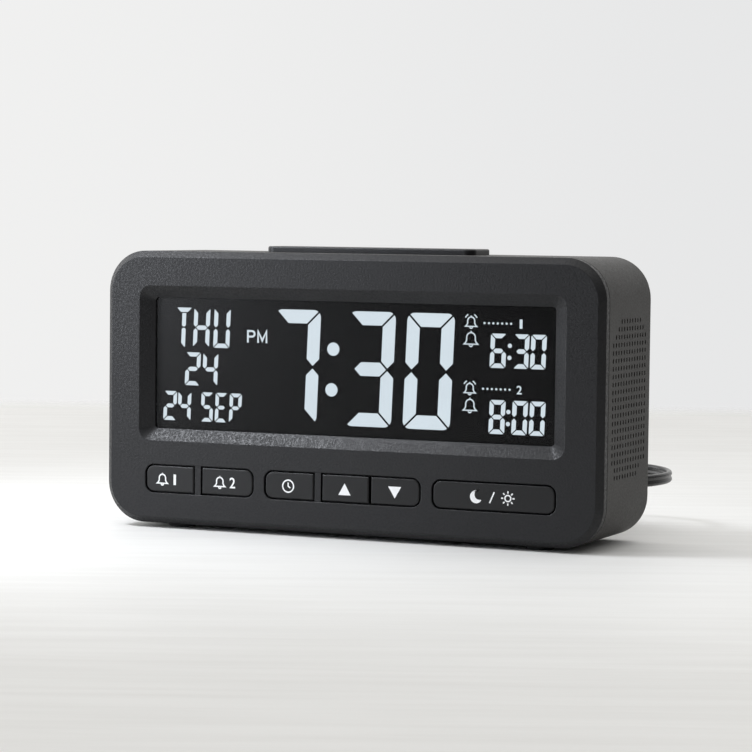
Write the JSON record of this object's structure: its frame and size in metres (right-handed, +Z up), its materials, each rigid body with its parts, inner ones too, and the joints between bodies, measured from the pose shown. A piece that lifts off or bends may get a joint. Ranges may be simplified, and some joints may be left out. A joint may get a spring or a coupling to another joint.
{
  "type": "digital day clock",
  "caption": "LCD day clock in a black plastic case, with front keys, a snooze bar, a side speaker grille, a battery door and a coiled power lead.",
  "frame": {"origin": "middle of the case's footprint, on the surface that the clock stands on", "axes": "+X to the right seen from the front, +Z up, the display faces -Y"},
  "size_m": [0.17, 0.1057, 0.091],
  "materials": {
    "bezel_plastic": "fine satin texture, black",
    "housing_plastic": "fine matt texture, warm black",
    "door_plastic": "fine matt texture, warm black",
    "key_plastic": "satin black with white print",
    "bar_plastic": "satin black",
    "plunger_plastic": "moulded, dark brown",
    "frame_plastic": "moulded, white",
    "window_clear": "clear polished",
    "lcd_glass": "dark negative display with bluish white segments",
    "guide_clear": "frosted light guide",
    "tape_black": "black foam tape",
    "board_green": "green solder mask",
    "led_white": "white package with a phosphor window",
    "pin_metal": "tinned",
    "chip_black": "moulded epoxy",
    "crystal_can": "satin can",
    "capacitor_sleeve": "dark blue sleeve with a silver end",
    "socket_white": "moulded nylon",
    "switch_body": "black with a steel cover",
    "screw_steel": "zinc plated",
    "foot_rubber": "matt, dark grey",
    "spring_steel": "nickel plated wire",
    "contact_steel": "nickel plated strip",
    "mesh_fabric": "black woven dust mesh",
    "basket_steel": "zinc plated pressing",
    "magnet_steel": "plated can",
    "cone_film": "translucent film cone",
    "coil_copper": "enamelled copper winding",
    "cell_sleeve": "plain grey sleeve with a copper band",
    "relief_rubber": "satin black",
    "cord_jacket": "glossy black PVC",
    "tie_wire": "black plastic-covered twist tie",
    "plug_plastic": "satin black",
    "plug_metal": "nickel plated shell",
    "tongue_plastic": "white moulded tongue",
    "wire_red_black": "one red and one black insulated wire"
  },
  "bodies": {
    "clock": {"front_bezel": "bezel_plastic", "rear_housing": "housing_plastic", "display_frame": "frame_plastic", "snooze_bracket": "frame_plastic", "display_window": "window_clear", "lcd_panel": "lcd_glass", "light_guide": "guide_clear", "window_tape": "tape_black", "main_board": "board_green", "key_board": "board_green", "snooze_board": "board_green", "led_strip": "board_green", "backlight_leds": "led_white", "lcd_pins": "pin_metal", "controller_chip": "chip_black", "crystal": "crystal_can", "capacitors": "capacitor_sleeve", "wire_sockets": "socket_white", "key_switches": "switch_body", "snooze_switch": "switch_body", "case_screws": "screw_steel", "small_screws": "screw_steel", "speaker_screws": "screw_steel", "rubber_feet": "foot_rubber", "snooze_springs": "spring_steel", "cell_springs": "spring_steel", "battery_contacts": "contact_steel", "grille_mesh": "mesh_fabric", "speaker_basket": "basket_steel", "speaker_magnet": "magnet_steel", "speaker_cone": "cone_film", "speaker_coil": "coil_copper", "backup_cells": "cell_sleeve", "strain_relief": "relief_rubber", "power_lead": "cord_jacket", "lead_coil": "cord_jacket", "lead_tail": "cord_jacket", "coil_tie": "tie_wire", "plug_grip": "plug_plastic", "plug_shell": "plug_metal", "plug_tongue": "tongue_plastic", "power_wires": "wire_red_black", "speaker_wires": "wire_red_black", "battery_wires": "wire_red_black"},
    "alarm_1_key": {"alarm_1_button": "key_plastic", "alarm_1_plunger": "plunger_plastic"},
    "alarm_2_key": {"alarm_2_button": "key_plastic", "alarm_2_plunger": "plunger_plastic"},
    "mode_key": {"mode_button": "key_plastic", "mode_plunger": "plunger_plastic"},
    "up_key": {"up_button": "key_plastic", "up_plunger": "plunger_plastic"},
    "down_key": {"down_button": "key_plastic", "down_plunger": "plunger_plastic"},
    "snooze_light_key": {"snooze_light_button": "key_plastic", "snooze_light_plunger": "plunger_plastic"},
    "snooze": {"snooze_bar": "bar_plastic", "snooze_plunger": "plunger_plastic"},
    "door": {"battery_door": "door_plastic"}
  },
  "joints": [
    {"name": "alarm_1_press", "type": "slide", "parent": "clock", "child": "alarm_1_key", "axis": [0, 1, 0], "range_m": [0, 0.0008], "stiffness_N_per_m": 400, "springref_m": -0.001},
    {"name": "alarm_2_press", "type": "slide", "parent": "clock", "child": "alarm_2_key", "axis": [0, 1, 0], "range_m": [0, 0.0008], "stiffness_N_per_m": 400, "springref_m": -0.001},
    {"name": "mode_press", "type": "slide", "parent": "clock", "child": "mode_key", "axis": [0, 1, 0], "range_m": [0, 0.0008], "stiffness_N_per_m": 400, "springref_m": -0.001},
    {"name": "up_press", "type": "slide", "parent": "clock", "child": "up_key", "axis": [0, 1, 0], "range_m": [0, 0.0008], "stiffness_N_per_m": 400, "springref_m": -0.001},
    {"name": "down_press", "type": "slide", "parent": "clock", "child": "down_key", "axis": [0, 1, 0], "range_m": [0, 0.0008], "stiffness_N_per_m": 400, "springref_m": -0.001},
    {"name": "snooze_light_press", "type": "slide", "parent": "clock", "child": "snooze_light_key", "axis": [0, 1, 0], "range_m": [0, 0.0008], "stiffness_N_per_m": 400, "springref_m": -0.001},
    {"name": "snooze_press", "type": "slide", "parent": "clock", "child": "snooze", "axis": [0, 0, -1], "range_m": [0, 0.0015], "stiffness_N_per_m": 500, "springref_m": -0.002, "deforming": ["snooze_springs"]},
    {"name": "battery_door_hinge", "type": "hinge", "parent": "clock", "child": "door", "pos_m": [-0.036, 0.022, 0.0328], "axis": [-1, 0, 0], "range_deg": [0, 75]}
  ]
}
